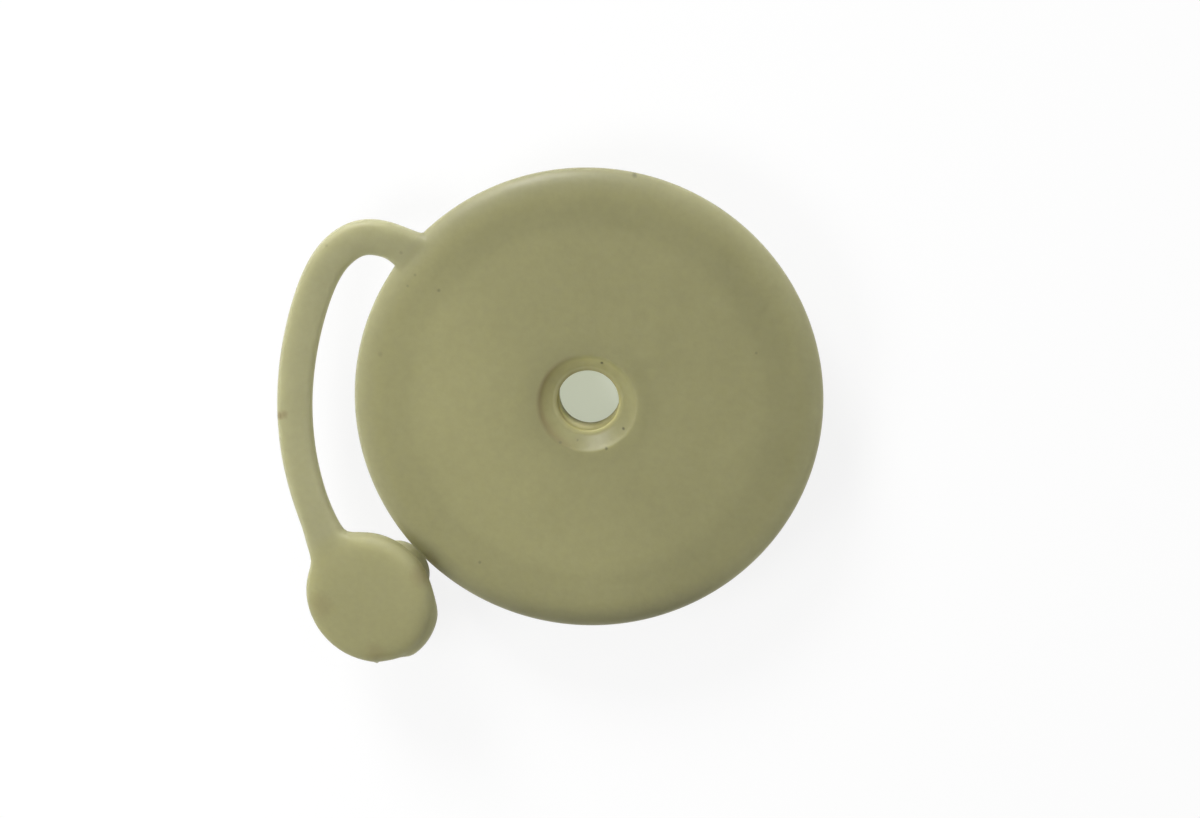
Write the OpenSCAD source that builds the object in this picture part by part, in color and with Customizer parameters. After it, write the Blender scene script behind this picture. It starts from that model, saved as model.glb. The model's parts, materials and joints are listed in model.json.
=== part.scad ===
// Rubber bung moulded in one piece: a low-domed flange over a short hollow plug, a countersunk
// vent hole through the middle, and a strap that carries the small cap for that hole.
// Origin: centre of the flange's seat, on the axis of the vent hole. +Z points up and out.

/* [Plug] */
// Diameter of the parallel land that grips the hole
neck_d = 41.8; // [34:0.1:52]
// Depth of the parallel land below the seat
neck_h = 3.6; // [2.5:0.1:5]
// Depth of the whole plug below the seat
plug_depth = 7.5; // [6:0.1:12]
// How far the lead-in draws the radius in at the tip
lead_in = 0.7; // [0:0.1:1.5]
// Wall of the plug at its root
plug_wall = 2.7; // [1.5:0.1:4]
// Wall of the plug at its tip
tip_wall = 1.8; // [1.2:0.1:3]

/* [Flange] */
// Width of the seat from the plug to the edge
seat_w = 4.1; // [3:0.1:8]
// Thickness of the flat middle
flange_t = 2.55; // [2.2:0.05:4]
// How far the top falls from the middle to where the rim starts to round
dome_fall = 0.25; // [0:0.05:0.5]
// Width of the rounding from the top out to the edge
rim_round_w = 3.6; // [2:0.1:5]
// Width of the rounding under the edge
lip_round_w = 1; // [0.4:0.1:2]
// Height of the widest line above the seat
edge_h = 0.95; // [0.8:0.05:1.4]

/* [Vent hole] */
// Diameter of the vent hole
vent_d = 6.5; // [5:0.1:8]
// Diameter of the countersink at the top
sink_d = 10.4; // [9.6:0.1:14]
// Depth of the countersink
sink_depth = 1.2; // [0.6:0.1:1.4]
// Width of the ledge at the foot of the countersink
ledge_w = 0.55; // [0.2:0.05:0.7]
// Wall of the boss round the hole
boss_wall = 2.9; // [1.5:0.1:4]
// How far the boss reaches below the seat
boss_drop = 2.8; // [1:0.1:4]

/* [Strap] */
// Width of the strap
strap_w = 3.8; // [3:0.1:5]
// Thickness of the strap
strap_t = 1.8; // [1.4:0.1:2.2]
// Gap between the strap and the edge of the flange
strap_gap = 4.35; // [2.5:0.05:8]
// Direction from the middle of the flange to the root of the strap
strap_angle = 139.8; // [120:0.1:160]
// Flare of each side where the strap leaves the flange
root_flare = 0.35; // [0:0.05:1]
// Flare of the outer side where the strap meets the cap
cap_flare_outer = 0.3; // [0:0.05:1.5]
// Flare of the inner side where the strap meets the cap
cap_flare_inner = 1.2; // [0:0.05:2.4]
// Side of the cap that the strap runs into, as a direction from the middle of the cap
cap_entry_angle = 125; // [100:1:160]
// How far beside the middle of the cap the strap runs in
cap_aside = 0.8; // [0:0.1:2]

/* [Vent cap] */
// Diameter of the cap
cap_d = 14.5; // [12:0.1:18]
// Thickness of the cap
cap_t = 2.8; // [2.2:0.1:3.5]
// Radius of the cap's edges
cap_edge = 0.9; // [0.3:0.05:1.1]
// Rise of the cap's crown
cap_crown = 0.4; // [0.05:0.05:0.6]
// Gap between the edge of the flange and the cap, if the cap stood level
cap_gap = 0; // [0:0.1:3]
// Direction from the middle of the flange to the cap
cap_angle = 222.2; // [210:0.1:240]
// Tilt of the cap, which rests on its pin
cap_tilt = 16; // [0:1:20]
// Direction in which the cap tilts down
cap_lean = 195; // [180:1:230]

/* [Thumb lip of the cap] */
// Width of the lip
lip_w = 6.6; // [4:0.1:9]
// How far the lip stands out beyond the cap
lip_out = 0.5; // [0.5:0.05:2]
// Thickness of the lip
lip_t = 1.3; // [0.8:0.1:1.6]
// Direction of the lip from the middle of the cap
lip_angle = 332; // [320:1:360]

/* [Pin under the cap] */
// Clearance of the shank in the vent hole, all round
pin_clearance = 0.2; // [0.1:0.05:0.5]
// Length of shank that shows past the boss when the cap is fitted
pin_spare = 0.8; // [0:0.1:1.5]
// How far the bulb stands out beyond the vent hole
bulb_grip = 0.3; // [0:0.05:0.5]
// Length of the bulb past the shank
bulb_len = 3.2; // [2:0.1:4]
// Gap between the nose of the bulb and the surface that the bung stands on
nose_gap = 0.2; // [0.05:0.05:2]

/* [Hidden] */
// How finely the turned faces are drawn
$fn = 96;

rubber = [0.66, 0.64, 0.48];

neck_r = neck_d / 2;
flange_r = neck_r + seat_w;
shoulder_r = flange_r - rim_round_w;
shoulder_h = flange_t - dome_fall;
tip_r = neck_r - lead_in;
core_floor_r = neck_r - plug_wall;
core_mouth_r = tip_r - tip_wall;
vent_r = vent_d / 2;
sink_r = sink_d / 2;
boss_r = vent_r + boss_wall;
ledge_z = flange_t - sink_depth;
cap_r = cap_d / 2;
pin_r = vent_r - pin_clearance;
bulb_r = vent_r + bulb_grip;
// The shank passes the countersink, the hole and the boss before the bulb starts
shank_len = sink_depth + ledge_z + boss_drop + pin_spare;

// More than 2 keeps the middle of the top flat for longer
dome_power = 3;

// Soft edges and fillets
neck_fillet = 0.4;
tip_round = 0.6;
mouth_round = 0.3;
core_fillet = 1.2;
boss_fillet = 0.6;
boss_round = 0.4;
vent_round = 0.25;
sink_round = 0.5;
ledge_fall = 0.12;
pin_fillet = 0.4;
// Share of the bulb's length above its widest point
bulb_peak = 0.4;
// Angle at which the bulb's round nose ends in a flat cone
nose_angle = 60;

// --- Curves -----------------------------------------------------------------------------

function unit(v) = v / norm(v);

// Points along an elliptical arc, from angle a to angle b
function arc(centre, rx, ry, a, b, steps) =
    [for (i = [0:steps]) let (t = a + (b - a) * i / steps) centre + [rx * cos(t), ry * sin(t)]];

// A corner softened by a curve that leaves it at a distance on each side
function soft(before, corner, after, distance, steps) =
    let (
        p = corner + distance * (before - corner) / norm(before - corner),
        q = corner + distance * (after - corner) / norm(after - corner)
    )
    [for (i = [0:steps]) let (t = i / steps) pow(1 - t, 2) * p + 2 * t * (1 - t) * corner + t * t * q];

// Height of the top: flat in the middle, and falling ever faster towards the shoulder
function top_z(r) = flange_t - dome_fall * pow(r / shoulder_r, dome_power);

// --- Flange, plug and vent hole ---------------------------------------------------------

sink_rim = [sink_r, top_z(sink_r)];
sink_foot = [vent_r + ledge_w, ledge_z];
vent_top = [vent_r, ledge_z - ledge_fall];
vent_foot = [vent_r, -boss_drop];
top_start = sink_r + sink_round;

// Half section, round the vent hole, out over the top and back underneath
bung_section = concat(
    soft([boss_r, -boss_drop], vent_foot, vent_top, vent_round, 3),
    [vent_top, sink_foot],
    soft(sink_foot, sink_rim, [top_start, top_z(top_start)], sink_round, 5),
    [for (i = [1:13]) let (r = top_start + (shoulder_r - top_start) * i / 14) [r, top_z(r)]],
    arc([shoulder_r, edge_h], rim_round_w, shoulder_h - edge_h, 90, 0, 12),
    arc([flange_r - lip_round_w, edge_h], lip_round_w, edge_h, -15, -90, 5),
    arc([neck_r + neck_fillet, -neck_fillet], neck_fillet, neck_fillet, 90, 180, 4),
    [[neck_r, -neck_h]],
    arc([tip_r - tip_round, tip_round - plug_depth], tip_round, tip_round, 0, -90, 5),
    arc([core_mouth_r + mouth_round, mouth_round - plug_depth], mouth_round, mouth_round, -90, -180, 3),
    arc([core_floor_r - core_fillet, -core_fillet], core_fillet, core_fillet, 0, 90, 5),
    arc([boss_r + boss_fillet, -boss_fillet], boss_fillet, boss_fillet, 90, 180, 4),
    arc([boss_r - boss_round, boss_round - boss_drop], boss_round, boss_round, 0, -90, 3)
);

module flange_and_plug() {
    rotate_extrude()
        polygon(bung_section);
}

// --- Vent cap ---------------------------------------------------------------------------

// How far the lip's underside is above the cap's
lip_rise = 0.3;

shank_end = -cap_t - shank_len;
bulb_z = shank_end - bulb_peak * bulb_len;

// Half section of the cap and its pin, with the top of the crown at zero
cap_section = concat(
    [for (i = [0:5]) let (r = (cap_r - cap_edge) * i / 5) [r, -cap_crown * pow(r / cap_r, 2)]],
    arc([cap_r - cap_edge, -cap_crown - cap_edge], cap_edge, cap_edge, 70, 0, 5),
    arc([cap_r - cap_edge, cap_edge - cap_t], cap_edge, cap_edge, 0, -90, 5),
    arc([pin_r + pin_fillet, -cap_t - pin_fillet], pin_fillet, pin_fillet, 90, 180, 4),
    [for (i = [0:4]) [pin_r + (bulb_r - pin_r) * (1 - cos(45 * i)) / 2, shank_end + (bulb_z - shank_end) * i / 4]],
    arc([0, bulb_z], bulb_r, (1 - bulb_peak) * bulb_len, -12, -nose_angle, 5),
    [[0, shank_end - bulb_len]]
);

// The bulb's lowest point hangs this far below its middle when the cap is tilted
nose_drop = norm([bulb_r * sin(cap_tilt), (1 - bulb_peak) * bulb_len * cos(cap_tilt)]);
cap_height = nose_gap - plug_depth - bulb_z * cos(cap_tilt) + nose_drop;
// A cap that hangs lower than the top of the flange stands further out, so that its tilted foot clears the rim
foot_room = (cap_t + pin_spare) * sin(cap_tilt) * min(1, max(0, flange_t + 1 - cap_height));
cap_orbit = flange_r + cap_gap + foot_room + cap_r;
cap_centre = [cap_orbit * cos(cap_angle), cap_orbit * sin(cap_angle), cap_height];
cap_up = [sin(cap_tilt) * cos(cap_lean), sin(cap_tilt) * sin(cap_lean), cos(cap_tilt)];
cap_side = unit(cross(cap_up, [cos(cap_entry_angle), sin(cap_entry_angle), 0]));
cap_out = cross(cap_side, cap_up);

// A point half way through the cap: out from the middle towards the strap, and beside that line
function in_cap(out) = cap_centre + out * cap_out + cap_aside * cap_side - cap_t / 2 * cap_up;

// Outline of the lip, seen from above, from inside the cap out to its rounded corners
lip_reach = cap_r + lip_out;
lip_corner = 2.2;
lip_outline = concat(
    arc([lip_reach - lip_corner, lip_corner - lip_w / 2], lip_corner, lip_corner, -90, -10, 4),
    arc([lip_reach - lip_corner, lip_w / 2 - lip_corner], lip_corner, lip_corner, 10, 90, 4),
    [[cap_r - lip_w / 2, lip_w / 2], [cap_r - lip_w / 2, -lip_w / 2]]
);

module vent_cap() {
    translate(cap_centre)
        rotate([0, cap_tilt, cap_lean]) {
            rotate_extrude()
                polygon(cap_section);
            rotate(lip_angle - cap_lean)
                translate([0, 0, lip_rise - cap_t])
                    linear_extrude(lip_t)
                        polygon(lip_outline);
        }
}

// --- Strap ------------------------------------------------------------------------------

// Course of the middle of the strap: out of the rim, over the shoulder, beside the flange.
// Each station gives its share of the way round to the cap, and of the way out to the full gap.
strap_stations = [
    [-0.017, -0.67], [-0.006, -0.34], [0, -0.05], [0.016, 0.37], [0.053, 0.74], [0.112, 0.94],
    [0.184, 1], [0.282, 0.99], [0.391, 0.99], [0.5, 1.01], [0.609, 1.04], [0.706, 1.07], [0.791, 1.11],
];
strap_out = strap_gap + strap_w / 2;
// How deep the strap's last two stations lie inside the rim of the cap
cap_reach = 0.4;
cap_bite = 3;
cap_entry = in_cap(cap_r - cap_reach);
// More than 1 keeps the strap level near the flange and lets it rise towards the cap
rise_power = 1.2;
strap_end_share = 0.85;

// A strap thicker than the edge allows starts higher, so that it stays clear of the seat
strap_start_z = max(edge_h, strap_t / 2);

function strap_z(share) =
    strap_start_z + (cap_entry.z - strap_start_z) * pow(max(share, 0) / strap_end_share, rise_power);
function station(s) =
    let (a = strap_angle + s.x * (cap_angle - strap_angle), r = flange_r + s.y * strap_out)
    [r * cos(a), r * sin(a), strap_z(s.x)];
strap_route = concat([for (s = strap_stations) station(s)], [cap_entry, in_cap(cap_r - cap_bite)]);

// Rings drawn between two stations, and points in each ring
rings_per_span = 3;
ring_points = 20;
// 2 makes the section an ellipse, and more makes it squarer
section_power = 2.8;

function flat_cos(a) = sign(cos(a)) * pow(abs(cos(a)), 2 / section_power);
function flat_sin(a) = sign(sin(a)) * pow(abs(sin(a)), 2 / section_power);

// Smooth curve through the stations of a route
function spline(p, i, t) =
    let (a = p[max(i - 1, 0)], b = p[i], c = p[i + 1], d = p[min(i + 2, len(p) - 1)])
    (2 * b + (c - a) * t + (2 * a - 5 * b + 4 * c - d) * t * t + (3 * b - a - 3 * c + d) * t * t * t) / 2;
function spline_points(p, n) =
    concat([for (i = [0:len(p) - 2], j = [0:n - 1]) spline(p, i, j / n)], [p[len(p) - 1]]);

// How far a side flares, at a distance outside the face that the strap runs into
function flare(size, distance) = size * exp(-max(distance, 0) / (1.2 * size + 0.1));

// The ring of skin points round one point of the course
function ring(course, i) =
    let (
        last = len(course) - 1,
        p = course[i],
        along = unit(course[min(i + 1, last)] - course[max(i - 1, 0)]),
        lean = unit((1 - i / last) * [0, 0, 1] + i / last * cap_up),
        side = unit(cross(along, lean)),
        up = cross(side, along),
        from_flange = norm([p.x, p.y]) - flange_r,
        from_cap = norm(p - cap_centre) - cap_r,
        half_w = strap_w / 2 + flare(root_flare, from_flange)
    )
    [for (j = [0:ring_points - 1])
        let (a = 360 * j / ring_points, cap_flare = cos(a) > 0 ? cap_flare_outer : cap_flare_inner)
        p + (half_w + flare(cap_flare, from_cap)) * flat_cos(a) * side + strap_t / 2 * flat_sin(a) * up];

module strap() {
    course = spline_points(strap_route, rings_per_span);
    last = len(course) - 1;
    n = ring_points;
    skin = [for (i = [0:last - 1], j = [0:n - 1])
        [i * n + j, i * n + (j + 1) % n, (i + 1) * n + (j + 1) % n, (i + 1) * n + j]];
    ends = [[for (j = [0:n - 1]) n - 1 - j], [for (j = [0:n - 1]) last * n + j]];
    polyhedron([for (i = [0:last]) each ring(course, i)], concat(skin, ends), convexity = 4);
}

module bung() {
    color(rubber)
        union() {
            flange_and_plug();
            strap();
            vent_cap();
        }
}

bung();
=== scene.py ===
# %% [markdown]
# # A rubber bung with its vent cap on a strap
#
# The real object is one shot of milky, slightly translucent rubber. A low-domed flange closes a
# hole, a short hollow plug below it grips that hole, and a countersunk vent runs through the
# middle. A strap leaves the edge of the flange and carries the small cap for that vent.
#
# The construction model gives the true sizes and the frame. It is exact but hard: its strap
# meets the flange and the cap in sharp creases. Here the same moulding is made again as one
# soft skin. A coarse cage of four-sided faces follows the forms, and subdivision rounds it, so
# that every place where one form grows out of another gets the small natural fillet that a
# mould gives it.

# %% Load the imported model
import json
import math

import bpy
from mathutils import Matrix, Vector


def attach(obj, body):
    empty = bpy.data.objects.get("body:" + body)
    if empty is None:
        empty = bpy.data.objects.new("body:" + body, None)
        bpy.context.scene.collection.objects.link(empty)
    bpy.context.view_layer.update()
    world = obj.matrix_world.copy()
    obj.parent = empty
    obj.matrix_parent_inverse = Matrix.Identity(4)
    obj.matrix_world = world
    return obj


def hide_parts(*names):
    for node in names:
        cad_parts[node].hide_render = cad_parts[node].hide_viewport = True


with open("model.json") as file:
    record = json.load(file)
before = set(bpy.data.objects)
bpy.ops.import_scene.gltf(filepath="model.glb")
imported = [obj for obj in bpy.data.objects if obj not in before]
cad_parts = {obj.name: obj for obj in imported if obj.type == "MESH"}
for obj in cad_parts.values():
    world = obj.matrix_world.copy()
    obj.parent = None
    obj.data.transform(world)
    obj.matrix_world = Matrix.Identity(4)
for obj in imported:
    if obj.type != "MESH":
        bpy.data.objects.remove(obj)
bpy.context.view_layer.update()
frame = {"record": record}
mounts = {m["name"]: m for m in frame["record"]["mounts"]}
MM = 0.001


# %% [markdown]
# ## Sizes
#
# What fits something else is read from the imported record: the radius of the vent hole, the
# radius of the plug's land, and the depth of the tip that the bung stands on. Nearly all the
# other sizes are the round numbers that the construction model uses. Lengths are millimetres
# and angles are degrees, counted from +X.

# %% Sizes of the flange, plug and vent hole
VENT_R = mounts["vent_bore"]["dims"]["r_mm"]
NECK_R = mounts["plug"]["dims"]["r_mm"]
PLUG_DEPTH = -mounts["base"]["pos_m"][2] / MM

SEAT_W = 4.1
FLANGE_R = NECK_R + SEAT_W
TOP_Z = 2.55
DOME_FALL = 0.25
RIM_ROUND = 3.6
SHOULDER_R = FLANGE_R - RIM_ROUND
SHOULDER_Z = TOP_Z - DOME_FALL
EDGE_Z = 0.95
UNDER_ROUND = 1.0
SINK_R = 5.2
SINK_DEPTH = 1.2
LEDGE_W = 0.55
LEDGE_Z = TOP_Z - SINK_DEPTH
BOSS_WALL = 2.9
BOSS_R = VENT_R + BOSS_WALL
BOSS_DROP = 2.8
NECK_H = 3.6
LEAD_IN = 0.7
TIP_R = NECK_R - LEAD_IN
PLUG_WALL = 2.7
CORE_R = NECK_R - PLUG_WALL
TIP_WALL = 1.8
MOUTH_R = TIP_R - TIP_WALL
print("flange radius", FLANGE_R, "plug depth", PLUG_DEPTH, "vent radius", VENT_R)

# %% [markdown]
# The strap keeps a steady gap to the flange and flares at both ends. The cap's angles say where
# it stands, how far and which way its axis leans, from which side the strap enters it, and where
# its thumb lip and a small nub are.

# %% Sizes of the strap and the vent cap
STRAP_W = 3.8
STRAP_T = 1.8
STRAP_GAP = 4.35
STRAP_ANGLE = 139.8
ROOT_FLARE = 0.35
CAP_FLARE_INNER = 1.2
CAP_FLARE_OUTER = 0.5

CAP_R = 7.25
CAP_T = 2.8
CAP_EDGE = 0.9
CAP_CROWN = 0.4
CAP_ANGLE = 222.2
CAP_TILT = 16
CAP_LEAN = 195
CAP_ENTRY_ANGLE = 125
CAP_ASIDE = 0.8
SOFT_EDGE = 2.2
LIP_ANGLE = 332
LIP_OUT = 0.55
NUB_ANGLE = 275
NUB_OUT = 0.35
NUB_TOP = 0.5
NUB_FOOT = 2.5
print("strap:", STRAP_W, "by", STRAP_T, "mm, cap radius:", CAP_R, "mm")

# %% [markdown]
# The pin under the cap closes the vent. Its shank has a little clearance in the hole, and its
# bulb is wider than the hole, so that it is squeezed through and grips behind the boss.

# %% Sizes of the cap's pin
PIN_CLEARANCE = 0.2
PIN_R = VENT_R - PIN_CLEARANCE
PIN_FILLET = 0.4
PIN_SPARE = 0.8
SHANK_LEN = TOP_Z + BOSS_DROP + PIN_SPARE
BULB_GRIP = 0.3
BULB_R = VENT_R + BULB_GRIP
BULB_LEN = 3.2
BULB_PEAK = 0.4
NOSE_LEN = (1 - BULB_PEAK) * BULB_LEN
NOSE_GAP = 0.2
print("pin radius", PIN_R, "bulb radius", BULB_R, "shank length", round(SHANK_LEN, 2))


# %% [markdown]
# ## A cage of quads
#
# A subdivision surface is only as good as its cage. The flange is a grid: each row of the grid
# is a ring round the vent hole and each column is one copy of the section. The strap is a row
# of loops, and the cap is a second, smaller grid. A small class holds the points and the faces
# while they are being joined, so that the flange, the strap and the cap share their corners.

# %% Cage helpers
class Cage:
    """Corners in millimetres and four-sided faces between them."""

    def __init__(self):
        self.points = []
        self.faces = []

    def add(self, points):
        first = len(self.points)
        self.points += [Vector(p) for p in points]
        return list(range(first, len(self.points)))

    def bridge(self, loop_a, loop_b):
        """Faces between two closed loops with equally many corners."""
        n = len(loop_a)
        for i in range(n):
            k = (i + 1) % n
            self.faces.append((loop_a[i], loop_a[k], loop_b[k], loop_b[i]))


def arc(centre, rx, ry, angles):
    """Points on an ellipse at a list of angles in degrees."""
    turns = [math.radians(a) for a in angles]
    return [(centre[0] + rx * math.cos(t), centre[1] + ry * math.sin(t)) for t in turns]


def soft(before, corner, after, distance, steps):
    """A corner softened by a curve that leaves it at a distance on each side."""
    b, c, a = Vector(before), Vector(corner), Vector(after)
    p = c + distance * (b - c).normalized()
    q = c + distance * (a - c).normalized()
    shares = [i / steps for i in range(steps + 1)]
    return [tuple((1 - t) ** 2 * p + 2 * t * (1 - t) * c + t * t * q) for t in shares]


def along(p, q, inner):
    """Points strictly between p and q, evenly spaced."""
    return [
        (p[0] + (q[0] - p[0]) * i / (inner + 1), p[1] + (q[1] - p[1]) * i / (inner + 1))
        for i in range(1, inner + 1)
    ]


def ring_gain(columns):
    """What a ring's radius is multiplied by, so that subdivision leaves it at its size."""
    return 4 / (3 + math.cos(2 * math.pi / columns))


def ease(x, start, full):
    """A smooth step: 0 at start, 1 at full."""
    t = min(max((x - start) / (full - start), 0), 1)
    return t * t * (3 - 2 * t)


print("gain of a ring with 12 columns:", round(ring_gain(12), 3))

# %% [markdown]
# ## The section of flange, plug and vent hole
#
# The bung is a body of revolution, so one closed outline describes it. The outline runs up the
# wall of the vent hole, over the ledge and the countersink, out across the low dome, round the
# rim, under the seat, down the plug and back through the hollow. Close pairs of corners keep an
# edge crisp after subdivision, and wide gaps let it go soft. Two rows are marked on the rim,
# because the strap grows out of the faces between them.

# %% Section of the vent hole and the top
def top_z(r):
    """Height of the top: flat in the middle, falling ever faster towards the shoulder."""
    return TOP_Z - DOME_FALL * (r / SHOULDER_R) ** 3


FOOT_ROUND = 0.3
LEDGE_ROUND = 0.12
SINK_FOOT_ROUND = 0.15
SINK_RIM_ROUND = 0.14
TOP_FACES = 12
vent_foot = (VENT_R, -BOSS_DROP)
vent_top = (VENT_R, LEDGE_Z - LEDGE_ROUND)
sink_foot = (VENT_R + LEDGE_W, LEDGE_Z)
sink_rim = (SINK_R, top_z(SINK_R))
top_start = SINK_R + 0.6
top_end = SHOULDER_R - 0.9

section = soft((BOSS_R, -BOSS_DROP), vent_foot, vent_top, FOOT_ROUND, 3)
section += along((VENT_R, FOOT_ROUND - BOSS_DROP), vent_top, 4)
section += soft(vent_foot, vent_top, sink_foot, LEDGE_ROUND, 2)
section += soft(vent_top, sink_foot, sink_rim, SINK_FOOT_ROUND, 2)
section += along(sink_foot, sink_rim, 3)
section += soft(sink_foot, sink_rim, (top_start, top_z(top_start)), SINK_RIM_ROUND, 2)
for i in range(TOP_FACES + 1):
    r = top_start + (top_end - top_start) * i / TOP_FACES
    section.append((r, top_z(r)))
print("section corners to the shoulder:", len(section))

# %% [markdown]
# The rim is a broad round that falls to a thin edge, with a small round under it. Subdivision
# pulls the corners of a sharp bend inwards, so they are set out by a small amount first.

# %% Section of the rim
ROUNDING = 0.04
rim_centre = (SHOULDER_R, EDGE_Z)
under_centre = (FLANGE_R - UNDER_ROUND, EDGE_Z)
rim_height = SHOULDER_Z - EDGE_Z

section += arc(rim_centre, RIM_ROUND, rim_height, [90, 80, 70, 60, 50, 40])
root_top = len(section) - 1
section += arc(rim_centre, RIM_ROUND + ROUNDING, rim_height, [22, 2])
section += arc(under_centre, UNDER_ROUND + ROUNDING, EDGE_Z, [-28, -58])
root_foot = len(section) - 1
section += arc(under_centre, UNDER_ROUND, EDGE_Z, [-78, -90])
print("section corners to the seat:", len(section), "strap rows:", root_top, "to", root_foot)

# %% [markdown]
# The plug has a parallel land that grips the hole and a lead-in that draws in to the tip. Inside,
# the wall gets thinner towards the mouth, so that the mould's core can be pulled out.

# %% Section of the plug
LAND_ROUND = 0.25
NECK_FILLET = 0.4
TIP_ROUND = 0.6
MOUTH_ROUND = 0.3
CORE_FILLET = 1.2

section += along((FLANGE_R - UNDER_ROUND, 0), (NECK_R + NECK_FILLET, 0), 2)
section += arc((NECK_R + NECK_FILLET, -NECK_FILLET), NECK_FILLET, NECK_FILLET, [90, 120, 150, 180])
section += along((NECK_R, -NECK_FILLET), (NECK_R, -NECK_H), 3)
section += soft((NECK_R, 0), (NECK_R, -NECK_H), (TIP_R, -PLUG_DEPTH), LAND_ROUND, 2)
section += along((NECK_R, -NECK_H), (TIP_R, TIP_ROUND - PLUG_DEPTH), 3)
tip_centre = (TIP_R - TIP_ROUND, TIP_ROUND - PLUG_DEPTH)
section += arc(tip_centre, TIP_ROUND, TIP_ROUND, [0, -22, -45, -68, -90])
mouth_centre = (MOUTH_R + MOUTH_ROUND, MOUTH_ROUND - PLUG_DEPTH)
section += arc(mouth_centre, MOUTH_ROUND, MOUTH_ROUND, [-90, -135, -180])
section += along((MOUTH_R, MOUTH_ROUND - PLUG_DEPTH), (CORE_R, -CORE_FILLET), 5)
section += arc((CORE_R - CORE_FILLET, -CORE_FILLET), CORE_FILLET, CORE_FILLET, [0, 22, 45, 68, 90])
print("section corners to the hollow:", len(section))

# %% [markdown]
# The hollow leaves a boss in the middle, so that the vent hole has a wall of its own. The last
# corner of the section meets the first one at the foot of the hole.

# %% Section of the boss
BOSS_FILLET = 0.6
BOSS_ROUND = 0.4

section += along((CORE_R - CORE_FILLET, 0), (BOSS_R + BOSS_FILLET, 0), 8)
section += arc((BOSS_R + BOSS_FILLET, -BOSS_FILLET), BOSS_FILLET, BOSS_FILLET, [90, 120, 150, 180])
section += along((BOSS_R, -BOSS_FILLET), (BOSS_R, BOSS_ROUND - BOSS_DROP), 1)
boss_centre = (BOSS_R - BOSS_ROUND, BOSS_ROUND - BOSS_DROP)
section += arc(boss_centre, BOSS_ROUND, BOSS_ROUND, [0, -30, -60, -90])
section += along((BOSS_R - BOSS_ROUND, -BOSS_DROP), (VENT_R + FOOT_ROUND, -BOSS_DROP), 2)
print("section corners in all:", len(section))

# %% [markdown]
# The columns are evenly spaced, with the strap's root in the middle of four of them. One more
# column close to each side of the root keeps the fillet there small. The four faces by four
# that lie behind the root are left open, and the loop of their corners is where the strap starts.

# %% Revolve the section
ROOT_FACES = 4
COLUMNS = 140
FILLET_TURN = 0.8
step = 360 / COLUMNS
half_root = ROOT_FACES * step / 2
beside_root = half_root + FILLET_TURN
turns = [i * step - half_root for i in range(COLUMNS)]
turns.insert(ROOT_FACES + 1, beside_root)
turns.append(360 - beside_root)

cage = Cage()
gain = ring_gain(COLUMNS)
rows = []
for r, z in section:
    circle = [math.radians(STRAP_ANGLE + t) for t in turns]
    rows.append(cage.add([(r * gain * math.cos(t), r * gain * math.sin(t), z) for t in circle]))

for i, row in enumerate(rows):
    below = rows[(i + 1) % len(rows)]
    for j in range(len(turns)):
        behind_root = root_top <= i < root_foot and j < ROOT_FACES
        if not behind_root:
            k = (j + 1) % len(turns)
            cage.faces.append((row[j], row[k], below[k], below[j]))


def window(rows, top, foot, columns):
    """The corners round an opening in a grid: along its top, down, back along its foot, up."""
    upper = [rows[top][c] for c in columns]
    lower = [rows[foot][c] for c in reversed(columns)]
    down = [rows[i][columns[-1]] for i in range(top + 1, foot)]
    up = [rows[i][columns[0]] for i in range(foot - 1, top, -1)]
    return upper + down + lower + up


flange_window = window(rows, root_top, root_foot, list(range(ROOT_FACES + 1)))
print("flange cage:", len(cage.faces), "faces, window of", len(flange_window), "corners")


# %% [markdown]
# ## The vent cap
#
# The cap stands beside the flange on its own pin, and it leans a little, away from the flange.
# It is a second body of revolution, made in a frame of its own: its top face is at height zero
# and the pin hangs below. The height of the frame is found from the pin, so that the nose of the
# bulb just clears the surface that the bung stands on.

# %% Frame of the cap
shank_end = -CAP_T - SHANK_LEN
bulb_z = shank_end - BULB_PEAK * BULB_LEN
tilt, lean = math.radians(CAP_TILT), math.radians(CAP_LEAN)
entry = math.radians(CAP_ENTRY_ANGLE)
nose_drop = math.hypot(BULB_R * math.sin(tilt), NOSE_LEN * math.cos(tilt))
cap_height = NOSE_GAP - PLUG_DEPTH - bulb_z * math.cos(tilt) + nose_drop

orbit = FLANGE_R + CAP_R
cap_turn = math.radians(CAP_ANGLE)
cap_centre = Vector((orbit * math.cos(cap_turn), orbit * math.sin(cap_turn), cap_height))
cap_up = Vector((math.sin(tilt) * math.cos(lean), math.sin(tilt) * math.sin(lean), math.cos(tilt)))
cap_side = cap_up.cross(Vector((math.cos(entry), math.sin(entry), 0))).normalized()
cap_out = cap_side.cross(cap_up)


def in_cap(out, aside, height):
    """A point of the cap: out from its middle towards the strap, beside that line, and up."""
    return cap_centre + out * cap_out + aside * cap_side + height * cap_up


print("cap centre:", [round(v, 2) for v in cap_centre])

# %% [markdown]
# The section of the cap starts beside the middle of its face and runs round the soft edge, down
# the wall and along the underside. A thumb lip stands out from the lower half of the wall, for
# lifting the cap off the vent. Each corner of the section also says how much of it takes part in
# the lip.

# %% Section of the cap
FACE_RINGS = 5
WALL_OUT = 0.03
LIP_TOP_Z = -1.6
wall_z = -CAP_CROWN - CAP_EDGE
foot_z = CAP_EDGE - CAP_T
inner_r = CAP_R - CAP_EDGE
face_r = CAP_R - SOFT_EDGE


def face_z(r):
    """Height of the cap's face, which is crowned a little."""
    return -CAP_CROWN * (r / CAP_R) ** 2


def plain(points):
    """Corners that take no part in the lip."""
    return [(r, z, 0) for r, z in points]


def edge_arc(angles):
    """Corners on the soft edge of the cap."""
    return plain(arc((face_r, wall_z), SOFT_EDGE + ROUNDING, face_z(face_r) - wall_z, angles))


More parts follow.
